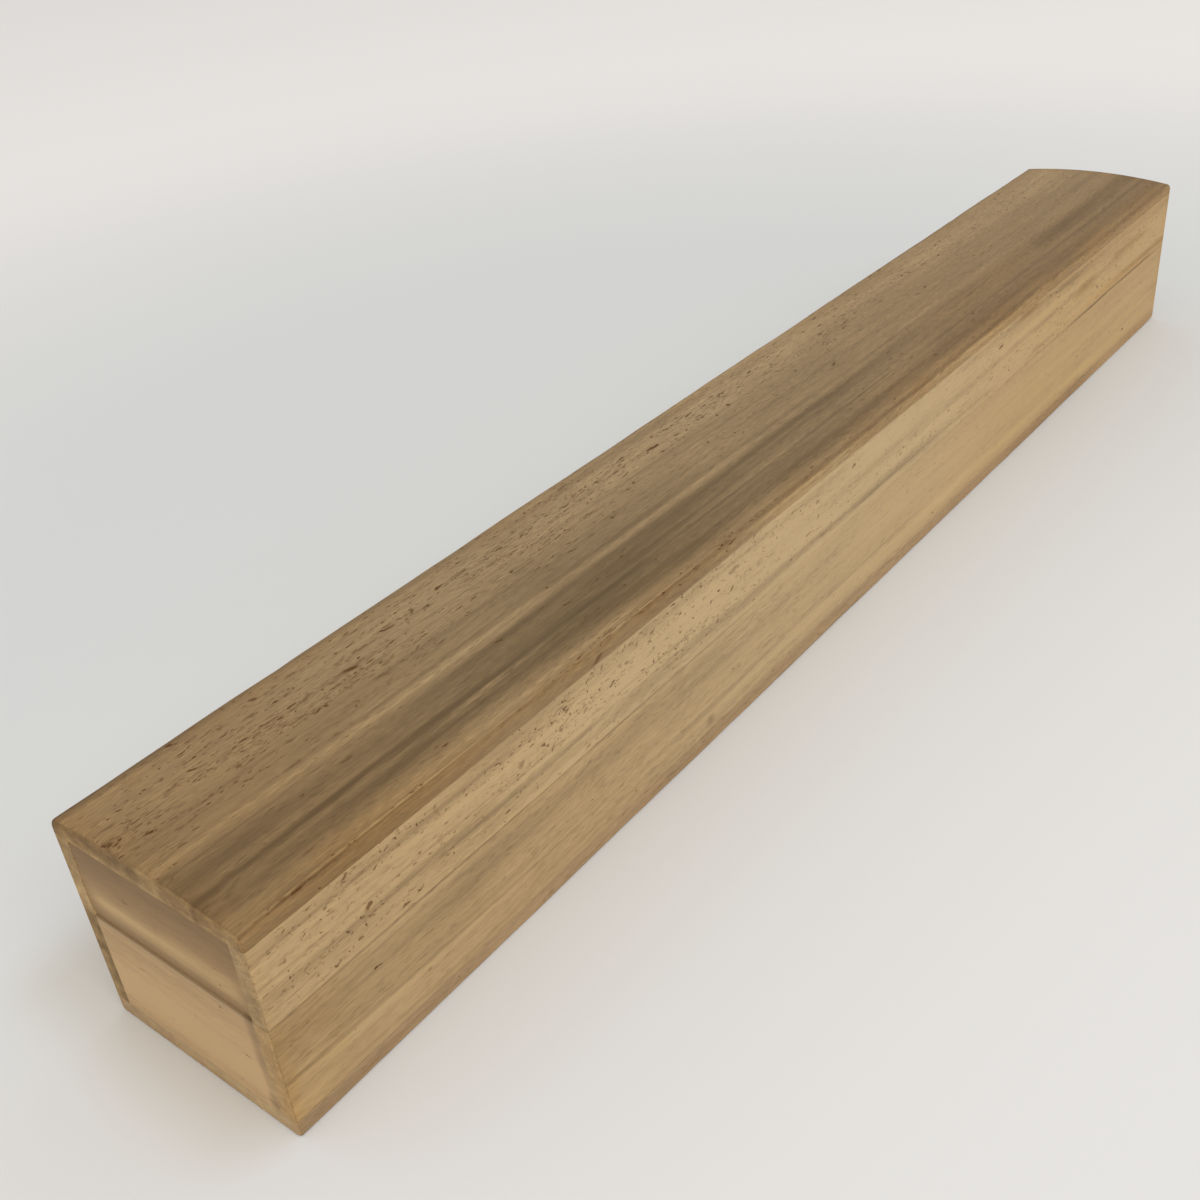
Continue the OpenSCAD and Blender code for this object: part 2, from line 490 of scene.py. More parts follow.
def streak_group():
    """Adds one streak to a running tone: a soft band across the grain, faded at both its ends."""
    tree, source, results = new_group(
        "Streak",
        {"Float": "Before, Along, Across, Drift, Patches, Swell, Centre, Half Width, Slope, Start, "
                  "End, Fade, Tone, Wander, Rag"},
        {"Float": "Tone"})
    centre = calc(tree, "MULTIPLY_ADD", source["Slope"], source["Along"], source["Centre"])
    centre = calc(tree, "MULTIPLY_ADD", source["Drift"], source["Wander"], centre)
    away = calc(tree, "ABSOLUTE", calc(tree, "SUBTRACT", source["Across"], centre))
    half = product(tree, source["Half Width"], shifted(tree, 1.0, source["Swell"], source["Rag"], 1.0))
    band = ease_between(tree, away, 0.0, half, 1.0, 0.0)
    first = calc(tree, "SUBTRACT", source["Start"], source["Fade"])
    last = calc(tree, "ADD", source["End"], source["Fade"])
    opening = ease_between(tree, source["Along"], first, source["Start"])
    closing = ease_between(tree, source["Along"], source["End"], last, 1.0, 0.0)
    patchy = shifted(tree, 1.0, source["Patches"], source["Rag"], 1.0)
    mask = product(tree, band, opening, closing, patchy)
    feed(tree, results, {"Tone": calc(tree, "MULTIPLY_ADD", mask, source["Tone"], source["Before"])})


def pore_group():
    """Short dark dashes along the grain: bent, stretched cells of which a share holds one.

    The cells lie in a plane of the distance along the grain and the sum of the other two
    coordinates, so that the dashes keep their length and width on every long face."""
    tree, source, results = new_group(
        "Pores", {"Vector": "Vector", "Float": "Length, Width, Share"}, {"Float": "Mask"})
    along, *across = axes_of(tree, source["Vector"])
    flat = vector_of(tree, calc(tree, "DIVIDE", along, source["Length"]),
                     calc(tree, "DIVIDE", calc(tree, "ADD", *across), source["Width"]))
    warp = add_node(tree, "ShaderNodeTexNoise", {"Vector": flat, "Scale": 0.6, "Detail": 1.0},
                    noise_dimensions="2D").outputs["Color"]
    bent = vector_calc(tree, "MULTIPLY_ADD", warp, (2.2, 1.3, 0.0), flat)
    cells = add_node(tree, "ShaderNodeTexVoronoi", {
        "Vector": bent, "Scale": 1.0, "Randomness": 1.0}, voronoi_dimensions="2D").outputs
    picking, sizing, deepening = add_node(
        tree, "ShaderNodeSeparateColor", {0: cells["Color"]}).outputs
    radius = calc(tree, "MULTIPLY_ADD", sizing, 0.24, 0.24)
    inner = calc(tree, "MULTIPLY", radius, 0.3)
    halo_reach = calc(tree, "MULTIPLY", radius, 1.5)
    spot = ease_between(tree, cells["Distance"], inner, radius, 1.0, 0.0)
    halo = ease_between(tree, cells["Distance"], 0.0, halo_reach, 0.45, 0.0)
    share = calc(tree, "MINIMUM", source["Share"], MOST_PORES)
    depth = calc(tree, "MULTIPLY_ADD", calc(tree, "POWER", deepening, 2.0), 0.8, 0.35)
    feed(tree, results, {"Mask": product(
        tree, calc(tree, "MAXIMUM", spot, halo), calc(tree, "LESS_THAN", picking, share), depth)})


def shell_group():
    """Masks from the distance to a box's faces: its edges, a wider rim, and what lies inside.

    The smallest of the three distances tells outside from inside. The second smallest is the
    distance to the nearest edge."""
    tree, source, results = new_group(
        "Handling", {"Vector": "Vector, Low, High", "Float": "Edge Reach, Rim Reach"},
        {"Float": "Edge, Rim, Inside"})
    place = source["Vector"]
    above = vector_calc(tree, "SUBTRACT", place, source["Low"])
    below = vector_calc(tree, "SUBTRACT", source["High"], place)
    gaps = axes_of(tree, vector_calc(tree, "MINIMUM", above, below))
    smaller = calc(tree, "MINIMUM", gaps[0], gaps[1])
    larger = calc(tree, "MAXIMUM", gaps[0], gaps[1])
    to_face = calc(tree, "MINIMUM", smaller, gaps[2])
    to_edge = calc(tree, "MAXIMUM", smaller, calc(tree, "MINIMUM", larger, gaps[2]))
    ragged = noise(tree, place, (260, 260, 260), 3.0, 0.65)
    patchy = ease_between(tree, noise(tree, place, (34, 34, 34), 2.0), 0.3, 0.7, 0.35, 1.25)
    masks = {"Inside": ease_between(tree, to_face, 1.6 * MM, 3.4 * MM)}
    for label, swing, least in (("Edge", 2.4, -0.2), ("Rim", 1.6, 0.2)):
        uneven = calc(tree, "MULTIPLY_ADD", ragged, swing, least)
        reach = product(tree, source[f"{label} Reach"], uneven)
        masks[label] = product(tree, ease_between(tree, to_edge, 0.0, reach, 1.0, 0.0), patchy)
    feed(tree, results, masks)


# Each size of pore: its length and width in millimetres, its share and its strength
PORE_SIZES = (
    (5.8, 3.1, 0.18, 0.8),
    (3.1, 1.7, 0.36, 1.0),
    (2.5, 0.95, 0.7, 1.0),
    (1.9, 0.65, 0.6, 0.85),
    (2.7, 0.43, 0.6, 0.7),
)
# The most cells that may hold a pore, and the width below which pores count as fine
MOST_PORES = 0.5
FINE_PORE = 0.9


def wood_group():
    """Paulownia: a running tone of bands, lines and fibres picks between a dark and a light wood.

    In board space X runs along the grain. A face that looks along X shows end grain instead."""
    tree, source, results = new_group(
        "Paulownia",
        {"Vector": "Vector, Normal", "Color": "Base, Dark, Light, Raw, Pore, Grime, Tan",
         "Float": "Drift, Tone, Bands, Lines, Fibres, Flecks, Pore Share, Fine Pores, Pore Length, "
                  "Pore Depth, Warmth, End Tone, End Figure, Edge, Rim, Soiling, Inside"},
        {"Color": "Color", "Float": "Roughness, Height"})
    still = source["Vector"]
    offset = vector_of(tree, 0.0, source["Drift"], source["Drift"])
    place = vector_calc(tree, "SUBTRACT", still, offset)
    lines = noise(tree, place, (13, 640, 640), 2.0, 0.5)
    fibres = noise(tree, place, (230, 2600, 2600), 2.0, 0.6)
    flecks = ease_between(tree, noise(tree, place, (230, 1500, 1500), 1.0), 0.54, 0.72)
    flecked = ease_between(tree, noise(tree, still, (30, 130, 130), 1.0), 0.35, 0.65, 0.3, 1.2)

    tone = shifted(tree, source["Tone"], noise(tree, place, (2.2, 150, 150), 2.0), source["Bands"])
    tone = shifted(tree, tone, lines, source["Lines"])
    tone = shifted(tree, tone, fibres, source["Fibres"])
    tone = shifted(tree, tone, noise(tree, still, (26, 60, 60), 2.0), 0.25)
    tone = calc(tree, "SUBTRACT", tone, product(tree, flecks, flecked, source["Flecks"]))

    speckle = noise(tree, still, (1500, 1500, 1500), 2.0, 0.7)
    rings = noise(tree, still, (60, 260, 420), 2.0, 0.6)
    cut = shifted(tree, source["End Tone"], speckle, 0.8)
    # The end figure, which for the top board also holds a painted highlight
    cut = calc(tree, "ADD", shifted(tree, cut, rings, 1.0), source["End Figure"])
    cut = calc(tree, "MULTIPLY_ADD", source["Tone"], 0.35, cut)
    facing = calc(tree, "ABSOLUTE", axes_of(tree, source["Normal"])[0])
    is_end = ease_between(tree, facing, 0.55, 0.85)
    tone = add_node(tree, "ShaderNodeMix", {0: is_end, 2: tone, 3: cut}, data_type="FLOAT").outputs[0]

    ground = blend_colour(tree, source["Inside"], source["Base"], source["Raw"])
    lighter = calc(tree, "MAXIMUM", tone, 0.0, clamp=True)
    darker = calc(tree, "TANH", calc(tree, "MULTIPLY", tone, -1.1))
    darker = calc(tree, "MULTIPLY", darker, 0.9, clamp=True)
    colour = blend_colour(tree, lighter, ground, source["Light"])
    colour = blend_colour(tree, darker, colour, source["Dark"])

    crowding = ease_between(tree, noise(tree, place, (24, 110, 110), 2.0), 0.36, 0.66, 0.35, 1.5)
    rows = ease_between(tree, noise(tree, place, (26, 380, 380), 2.0), 0.4, 0.62, 0.12, 2.0)
    uncut = calc(tree, "SUBTRACT", 1.0, is_end)
    share = product(tree, source["Pore Share"], uncut, product(tree, crowding, rows))
    fine_share = product(tree, share, source["Fine Pores"])
    spot = 0.0
    for length, width, plenty, strength in PORE_SIZES:
        mask = add_node(tree, "ShaderNodeGroup", {
            "Vector": place, "Length": product(tree, source["Pore Length"], length * MM),
            "Width": width * MM,
            "Share": product(tree, fine_share if width < FINE_PORE else share, plenty)},
            node_tree=bpy.data.node_groups["Pores"]).outputs[0]
        spot = calc(tree, "MAXIMUM", spot, product(tree, mask, strength))
    pored = calc(tree, "MULTIPLY", spot, source["Pore Depth"], clamp=True)
    colour = blend_colour(tree, pored, colour, source["Pore"])

    clean = calc(tree, "MULTIPLY_ADD", source["Inside"], -0.85, 1.0)
    warmth = calc(tree, "MULTIPLY_ADD", source["Rim"], 0.35, source["Warmth"])
    warmth = calc(tree, "MULTIPLY", warmth, clean, clamp=True)
    warmed = blend_colour(tree, warmth, colour, source["Tan"], "MULTIPLY")
    soil = product(tree, source["Edge"], source["Soiling"], clean)

    roughness = calc(tree, "MULTIPLY_ADD", lines, 0.16, 0.5)
    roughness = calc(tree, "MULTIPLY_ADD", soil, -0.10, roughness)
    height = calc(tree, "MULTIPLY_ADD", fibres, 0.45, product(tree, lines, 0.5))
    height = calc(tree, "MULTIPLY_ADD", spot, -0.6, height)
    rough_end = product(tree, is_end, calc(tree, "SUBTRACT", speckle, 0.5))
    feed(tree, results, {
        "Color": blend_colour(tree, soil, warmed, source["Grime"]),
        "Roughness": calc(tree, "MULTIPLY_ADD", is_end, 0.14, roughness),
        "Height": calc(tree, "MULTIPLY_ADD", rough_end, 0.9, height)})


class Streak(NamedTuple):
    """A soft streak in a board, in millimetres, and how far it shifts the tone.

    Rows give the first three by place, and start, end and fade too where both ends are set."""

    centre: float
    half: float
    tone: float
    start: float = -400
    end: float = 400
    fade: float = 60
    slope: float = 0.0
    wander: float = 0.3
    rag: float = 0.8


class Look(NamedTuple):
    """How one kind of board looks. Its base is the name of a colour in the sidebar."""

    base: str
    streaks: tuple
    across: str = "Z"
    grain: str = "X"
    bands: float = 0.5
    lines: float = 0.5
    fibres: float = 0.5
    flecks: float = 0.25
    pores: tuple = ()
    pore_length: float = 1.0
    pore_depth: float = 1.1
    fine_pores: float = 1.0
    warm: tuple = ()
    soiling: float = 0.35
    end_tone: float = -0.25
    ends: tuple = ()
    low: float = 0.0
    high: float = 0.0
    crown: float = 0.0
    edge: float = 1.0
    rim: float = 8.0


# A half width in millimetres and a height in metres past every face of the box
EVERYWHERE = 400
FAR_OFF = 1.0
TOP_LOOK = Look(
    base="top_wood", across="Y", bands=0.45, lines=0.38, fibres=0.9, flecks=0.3, end_tone=0.08,
    low=-FAR_OFF, high=LID_TOP, crown=2.45, edge=1.2, rim=12.0, soiling=0.35, pore_length=1.25,
    pore_depth=1.12, fine_pores=0.75,
    ends=(
        Streak(66.6, 4.4, -0.5, 4, 31, 5),
        # Painted highlight: a pale line along the foot of the top board's end
        Streak(62.6, 1.1, 0.26, -31, 31, 3, wander=0.1, rag=0.7),
        Streak(65, 6, 0.08, -33, -2, 4, rag=0.5),
    ),
    streaks=(
        Streak(22, 17, 0.14, start=-40, fade=240, wander=0, rag=0),
        Streak(8, 12, -0.12, start=20, fade=120),
        Streak(33, 4, -0.45, end=-266),
        Streak(33.6, 3, -0.3, end=-256, fade=34, rag=0.4),
        Streak(34.2, 1.8, -0.2),
        Streak(34, 2.2, -0.4, end=-272, fade=12),
        Streak(33, 3, -0.26, -205, -140, 40),
        Streak(33, 3.4, 0.22, 0, 60, 40),
        Streak(2, 9, -0.24, end=-170, fade=120),
        Streak(-4.8, 3.2, -0.22, -130, 150, 80),
        Streak(-0.5, 4.5, -0.2, start=-110, fade=70),
        Streak(-16, 22, -0.24, end=-270, fade=26, rag=0.4),
        Streak(-7.5, 1.6, -0.32, -222, 60, slope=-0.0156, rag=0.5),
        Streak(-9.9, 2.2, 0.16, end=-60, fade=90, slope=-0.0156, rag=0.4),
        Streak(-13.5, 9, -0.34, end=-110, fade=120, slope=-0.006, rag=0.4),
        Streak(-18, 9, -0.26, end=-120, fade=100, slope=-0.006, rag=0.5),
        Streak(-19.7, 1.6, -0.95, end=-240, fade=30, wander=0.15, rag=0.6),
        Streak(-20.2, 2, -0.9, -206, -152, 26, wander=0.2, rag=0.6),
        Streak(-20.7, 1.2, -0.6, -141, -125, 12, wander=0.2, rag=0.4),
        Streak(-23, 4.6, 0.22, 16, 54, 24, rag=0.5),
        Streak(-19.4, 6, -0.26, -222, -126, 50),
        Streak(-20.9, 1, -0.44, -165, 10, wander=0.2),
        Streak(-17.6, 0.8, -0.2, -120, 0),
        Streak(-24.6, 5, -0.14, end=-150),
        Streak(-12.4, 2.4, -0.36, -170, -20, slope=-0.006, rag=0.5),
        Streak(-14, 6, -0.16, -150, 0, 80),
        Streak(-25.6, 4.4, -0.4, -218, -166, 40),
        Streak(-25.4, 6, -0.34, end=-120, fade=110, rag=0.5),
        Streak(-27.6, 2.8, -0.4, -130, 0),
        Streak(-30.5, 3, -0.24, -120, -40, 40),
        Streak(-31.2, 4, -0.3, 90, 160, 40),
        Streak(-9.4, 1.2, -0.2, -264, -215, 30),
        Streak(-13, 9, -0.38, start=10, fade=130, rag=0.5),
        Streak(-24, 12, -0.46, start=-100, fade=70, rag=0.4),
        Streak(-20, 1.4, 0.16, -60, 40, 50, rag=0.5),
        Streak(-22.6, 1, -0.3, start=30, wander=0.15),
        Streak(-28.6, 3.4, -0.24, start=20),
        Streak(-15, 6, -0.32, start=212, fade=85, rag=0.3),
        Streak(7, 1.1, -0.2, -200, 20, 70, slope=-0.02),
        Streak(10.5, 1, -0.2, -240, -60, slope=-0.02),
        Streak(1.5, 1.2, -0.14, -200, 40, 70, slope=-0.016),
        Streak(29.5, 2.6, -0.26, -100, -40, 40),
        Streak(-33.4, 2, -0.16, end=-60, fade=90, rag=0.6),
        Streak(-34.2, 0.5, -0.46, end=-262, fade=30, wander=0.1),
        Streak(-34.1, 0.6, -0.26, wander=0.1, rag=0.9),
        Streak(-33.4, 0.5, 0.36, -262, -120, 40, wander=0.1, rag=1),
        Streak(17, 5, -0.12, 10, 160, 40),
        Streak(0, 3, -0.12, -262, -222, 24),
        Streak(-8.5, 2.2, -0.26, end=-280, fade=7),
        Streak(-20, 2.8, -0.36, end=-280, fade=7),
        Streak(-25, 4, -0.12, -202, -142, 30),
        Streak(-31.6, 1.8, 0.12, end=-60, fade=90, rag=0.5),
        Streak(-31.8, 4.4, -0.26, end=-262, fade=40),
        Streak(-33.6, 1.5, -0.34, start=-20, fade=70, rag=0.5),
        Streak(-35.3, 0.9, -0.2, end=-250, rag=0.5),
        Streak(-35.3, 0.9, 0.44, -60, 80, 70, rag=0.5),
        Streak(-35.3, 0.9, 0.1, start=140, fade=50, rag=0.5),
    ),
    pores=(
        Streak(18, 22, 0.5, end=-110, fade=190),
        Streak(14, 10, 0.26, -275, -185, 50),
        Streak(10, 30, 0.26, end=-272, fade=9),
        Streak(22, 14, 0.16, start=0),
        Streak(-33.4, 1.4, 0.5, end=-150, fade=200),
        Streak(0, EVERYWHERE, 0.02),
    ),
    warm=(
        Streak(0, EVERYWHERE, 0.4, end=-266, fade=100),
        Streak(-34.2, 1.2, 0.3, end=-160, fade=140),
        Streak(-30, 14, 0.3, start=60, fade=120),
        Streak(-15, 9, 0.3, start=120, fade=90),
        Streak(0, EVERYWHERE, 0.2, start=120, fade=160),
    ),
)
RAIL_LOOK = Look(
    base="rail_wood", bands=0.4, lines=0.3, fibres=0.6, flecks=0.2, end_tone=-0.3,
    low=-FAR_OFF, high=LID_TOP, edge=0.55, rim=6.0, soiling=0.6, pore_length=0.64,
    pore_depth=0.8, fine_pores=0.35,
    streaks=(
        Streak(50, EVERYWHERE, -0.1, end=-240, fade=80, wander=0, rag=0),
        Streak(45.4, 2.6, -0.4, end=-220, fade=30, rag=0.6),
        Streak(46.8, 0.8, -0.24, end=-210, fade=40, slope=-0.01),
        Streak(43.6, 3.4, -0.2, end=-200),
        Streak(44, 2.2, -0.34, -206, -172, 24),
        Streak(45.5, 0.8, -0.3, -190, -128, 30, slope=-0.01),
        Streak(41, 5, -0.08),
        Streak(41, 2.8, -0.24, -120, 10, 55, slope=-0.01),
        Streak(40.2, 1.3, -0.2, -60, 60),
        Streak(50.4, 3.2, -0.18, 10, 100, slope=-0.012),
        Streak(58.8, 5.5, -0.2, -186, -50, 50),
        Streak(58.8, 5, -0.06, end=-240),
        Streak(57.6, 1.2, -0.3, -272, -205, 20),
        Streak(59, 6, -0.34, start=120, fade=90, rag=0.6),
        Streak(60.8, 3, -0.3, 118, 124, 12, rag=0.4),
        Streak(49.8, 4, -0.28, 181, 184, 16, rag=0.4),
        Streak(50.3, 2.4, -0.2, 130, 200, 50, rag=0.5),
        Streak(52.6, 2.4, -0.3, 224, 246, 16, rag=0.5),
        Streak(49.2, 2.4, -0.26, 136, 146, 14, rag=0.5),
        Streak(40.2, 1.8, -0.3, 134, 144, 12, rag=0.5),
        Streak(58.4, 2.2, -0.26, 158, 168, 14, rag=0.5),
        Streak(52.5, 3.4, 0.14, 110, 180, 30),
        Streak(41.6, 3.4, 0.14, start=120, fade=50),
        Streak(46, 2.8, 0.14, 14, 52, 24),
        Streak(40.5, 3, -0.18, -202, -142, 24),
        Streak(40.6, 2.5, -0.3, start=240, fade=36, rag=0.5),
        Streak(37.4, 1.1, -0.8, 194, 246, 40, rag=0.4),
        Streak(37, 0.6, -0.4, end=-170, fade=120, rag=0.5),
        Streak(37, 0.6, -0.16, rag=0.5),
        Streak(61.9, 0.4, -0.3, rag=0.5),
    ),
    pores=(
        Streak(55, 13, 0.36, end=-130, fade=110),
        Streak(44, 9, 0.13, -275, 0, 80),
        Streak(50, 16, 0.16, start=110, fade=80),
        Streak(50, EVERYWHERE, 0.02),
    ),
    warm=(
        Streak(60.8, 4, 0.4, 118, 124, 14),
        Streak(49.8, 5, 0.4, 181, 184, 18),
        Streak(52.6, 3.6, 0.3, 224, 246, 18),
        Streak(40.6, 3.4, 0.5, start=220),
        Streak(50, EVERYWHERE, 0.6, start=180, fade=170),
        Streak(50, EVERYWHERE, 0.3, end=-230, fade=100),
    ),
)
BACK_RAIL_LOOK = RAIL_LOOK._replace(
    end_tone=-0.4,
    ends=(
        Streak(44, 6, 0.42, rag=0.5),
        Streak(58, 6, -0.1, rag=0.5),
    ),
    streaks=(
        Streak(55, 3.4, -0.26, -140, 180, 90, slope=0.012),
        Streak(47, 1.2, -0.3, end=30, fade=80, slope=0.01),
        Streak(41.5, 2.6, -0.2, start=-60, fade=90, slope=-0.01),
        Streak(37, 0.7, -0.35),
        Streak(61.9, 0.4, -0.3),
    ),
)
WALL_LOOK = Look(
    base="wall_wood", bands=0.4, lines=0.54, fibres=0.66, flecks=0.24, end_tone=-0.04,
    low=0.0, high=FAR_OFF, edge=0.55, rim=6.0, soiling=0.55,
    streaks=(
        Streak(20, EVERYWHERE, -0.1, end=-200, fade=140, wander=0, rag=0),
        Streak(27.5, 12, -0.26, end=-190, fade=130, slope=-0.012, rag=0.6),
        Streak(11.3, 1.3, -0.36, end=-98, fade=24, slope=-0.027, wander=0.7),
        Streak(13.4, 2.8, -0.14, end=-170, slope=-0.027),
        Streak(13.9, 1.1, -0.3, -84, 8, 24, slope=-0.002, wander=0.6),
        Streak(13.4, 1.1, -0.14, 12, 110, 30, slope=0.03),
        Streak(25, 13, 0.24, start=50, fade=120),
        Streak(11, 7, 0.36, start=-60, fade=120, slope=-0.01),
        Streak(9.4, 3.4, -0.34, -109.1, -108.9, 3.4, wander=0, rag=0.2),
        Streak(9.4, 1.8, -0.12, -109.1, -108.9, 1.9, wander=0, rag=0.2),
        Streak(36.9, 0.6, -0.3, end=-170, fade=120, rag=0.5),
        Streak(36.8, 0.6, -0.3, 190, 250, 40, rag=0.5),
        Streak(16, 3.2, 0.24, -262, -142, 24),
        Streak(16, 3.6, 0.2, start=110),
        Streak(10.5, 3.8, 0.2, end=-274, fade=10),
        Streak(10.5, 3.8, 0.18, 14, 178, 40),
        Streak(25, 5.5, 0.16, -200, -142, 24),
        Streak(27, 12, -0.12, -122, -44, 30),
        Streak(21, 3, 0.16, end=-274, fade=10),
        Streak(5.7, 0.4, -0.35),
    ),
    pores=(Streak(20, 60, 0.005),),
    warm=(
        Streak(20, EVERYWHERE, 0.5, start=160, fade=200),
        Streak(20, EVERYWHERE, 0.3, end=-276, fade=24),
        Streak(20, EVERYWHERE, 0.25, end=-200, fade=120),
    ),
)
BACK_WALL_LOOK = WALL_LOOK._replace(
    end_tone=-0.36,
    ends=(
        Streak(20, EVERYWHERE, -0.36, 29, 31, 1.6, wander=0),
        Streak(33.5, 4, -0.3),
        Streak(25, 3.6, -0.5),
        Streak(15, 4.4, -0.24),
    ),
    streaks=(
        Streak(14, 6, -0.22, start=-40, fade=120, slope=0.015),
        Streak(25.5, 1, -0.32, -230, 120, slope=0.014),
        Streak(30, 2.4, 0.16, end=60, fade=90, slope=0.014),
        Streak(36.9, 0.6, -0.3),
        Streak(5.7, 0.4, -0.35),
    ),
)
END_LOOK = Look(
    base="end_wood", grain="Y", bands=0.28, lines=0.22, fibres=0.35, flecks=0.08, end_tone=-0.2,
    low=0.0, high=FAR_OFF, edge=0.4, rim=2.0, soiling=0.25,
    streaks=(
        # Painted shade under the lid: darker towards the top of the board
        Streak(35, 15, -0.24, rag=0.5),
        Streak(7, 3.4, -0.24),
        Streak(14, 9, 0.16, rag=0.4),
        # Darker along the front wall: partly a dark joint, partly painted shade in the corner by the
        # wall's end
        Streak(20, EVERYWHERE, -0.48, end=-28.6, fade=3.4, rag=0.3),
        Streak(37, 0.8, -0.46, wander=0.1, rag=0.2),
    ),
    pores=(Streak(20, 60, 0.005),),
    warm=(Streak(20, EVERYWHERE, 0.35), Streak(37, 1.2, -0.5)),
)
LID_END_LOOK = Look(
    base="lid_end_wood", grain="Y", bands=0.25, lines=0.22, fibres=0.4, flecks=0.1, end_tone=-0.2,
    low=-FAR_OFF, high=LID_TOP, edge=0.3, rim=2.0, soiling=0.2,
    streaks=(
        # Painted shade under the top board's overhang, darkest towards the top of the board
        Streak(61, 15, -0.44, rag=0.5),
        Streak(50, 4, 0.1, rag=0.5),
        # Painted light: a paler band below that painted shade
        Streak(44.3, 6, 0.56, -24, 23, 7, rag=0.4),
        # Painted shade over the bevel at the foot, on top of the shading that the bevel's own slope
        # gets
        Streak(39.1, 3.8, -0.18, rag=0.3),
    ),
    pores=(Streak(50, 60, 0.012),),
    warm=(Streak(20, EVERYWHERE, 0.35),),
)
FOOT_LOOK = Look(
    base="foot_wood", across="Y", bands=0.4, lines=0.4, fibres=0.8, flecks=0.35, end_tone=0.2,
    low=0.0, high=FAR_OFF, edge=0.8, rim=4.0, soiling=0.25,
    ends=(
        Streak(2.7, 9, -0.2, 16, 35, 12, wander=0),
        Streak(2.7, 9, 0.14, -28, -10, 8, wander=0),
    ),
    streaks=(
        Streak(-10, 6, -0.3),
        Streak(18, 5, 0.2),
        Streak(-34, 6, -0.25, end=-240, fade=40),
        Streak(-34, 6, -0.1, -150, -60),
        Streak(-34, 6, -0.12, 120, 190, 30),
        Streak(-34, 6, 0.16, start=220, fade=30),
    ),
    pores=(Streak(0, 60, 0.05),),
    warm=(Streak(0, EVERYWHERE, 0.4, start=150, fade=120),),
)
INNER_LOOK = Look(
    base="raw_wood", bands=0.3, lines=0.4, fibres=0.5, end_tone=-0.15,
    low=0.0, high=LID_TOP, edge=0.1, rim=0.5, soiling=0.0,
    streaks=(Streak(22, 6, -0.1),), pores=(Streak(20, 60, 0.02),),
)
PEG_LOOK = Look(
    base="peg_wood", grain="Z", across="X", bands=0.2, lines=0.3, fibres=0.5,
    end_tone=-0.2, low=0.0, high=SEAM_Z, edge=0.1, rim=0.5, streaks=(),
)


def shared_groups():
    """The node groups that every wood finish uses, made once."""
    if "Paulownia" not in bpy.data.node_groups:
        for make in (figure_group, streak_group, shell_group, pore_group, wood_group):
            make()
    return bpy.data.node_groups


def wood_material(name, look):
    """One board's finish: its streaks and soiling feed the shared wood, which feeds the shader."""
    groups = shared_groups()
    colours = bpy.context.scene.scroll_box_colours
    material, tree, shader = new_finish(name)
    coordinates = add_node(tree, "ShaderNodeTexCoord").outputs

    def shared(group, inputs):
        """The results of one shared group."""
        return add_node(tree, "ShaderNodeGroup", inputs, node_tree=groups[group]).outputs

    def board_space(vector):
        """Turns a vector so that X runs along the grain, and Z or Y across it."""
        if look.grain == "X":
            return vector
        parts = axes_of(tree, vector)
        return vector_of(tree, *[parts[k] for k in ((1, 0, 2) if look.grain == "Y" else (2, 1, 0))])

    place = board_space(coordinates["Object"])
    normal = board_space(coordinates["Normal"])
    figure = shared("Grain drift", {"Vector": place})
    axes = axes_of(tree, place)

    def summed(streaks, whole=False, along="X", across=look.across):
        """The streaks' tones, added up along a chain of nodes. Whole ones aren't broken up."""
        total = 0.0
        for streak in streaks:
            if whole:
                streak = streak._replace(wander=0, rag=0)
            total = shared("Streak", {
                "Before": total, "Along": axes[along], "Across": axes[across],
                "Drift": figure["Drift"], "Patches": figure["Patches"], "Swell": figure["Swell"],
                "Centre": streak.centre * MM, "Half Width": streak.half * MM,
                "Slope": streak.slope, "Start": streak.start * MM, "End": streak.end * MM,
                "Fade": streak.fade * MM, "Tone": streak.tone, "Wander": streak.wander,
                "Rag": streak.rag})["Tone"]
        return total

    level = coordinates["Object"]
    if look.crown:
        raw = axes_of(tree, level)
        part = calc(tree, "DIVIDE", raw["Y"], HALF_W)
        drop = product(tree, part, part, look.crown * MM)
        level = vector_of(tree, raw["X"], raw["Y"], calc(tree, "ADD", raw["Z"], drop))
    handling = shared("Handling", {
        "Vector": level, "Low": (-HALF_L, -HALF_W, look.low), "High": (HALF_L, HALF_W, look.high),
        "Edge Reach": look.edge * MM, "Rim Reach": look.rim * MM})

    tints = {label: opaque(getattr(colours, colour)) for label, colour in (
        ("Base", look.base), ("Dark", "dark_streak"), ("Light", "light_streak"),
        ("Raw", "raw_wood"), ("Pore", "pore"), ("Grime", "grime"), ("Tan", "tan"))}
    amounts = {label: getattr(look, label.lower().replace(" ", "_")) for label in (
        "Bands", "Lines", "Fibres", "Flecks", "Pore Length", "Pore Depth", "Fine Pores",
        "End Tone", "Soiling")}
    masks = {label: handling[label] for label in ("Edge", "Rim", "Inside")}
    wood = shared("Paulownia", {
        "Vector": place, "Normal": normal, "Drift": figure["Drift"], **tints, **amounts, **masks,
        "Tone": summed(look.streaks), "Warmth": summed(look.warm, whole=True),
        "Pore Share": summed(look.pores, whole=True),
        "End Figure": summed(look.ends, along="Y", across="Z")})
    relief = add_node(tree, "ShaderNodeBump", {
        "Strength": RELIEF_STRENGTH, "Distance": RELIEF_DEPTH, "Height": wood["Height"]})
    feed(tree, shader, {
        "Base Color": wood["Color"], "Roughness": wood["Roughness"],
        "Normal": relief.outputs[0], "Specular IOR Level": 0.2})
    return material


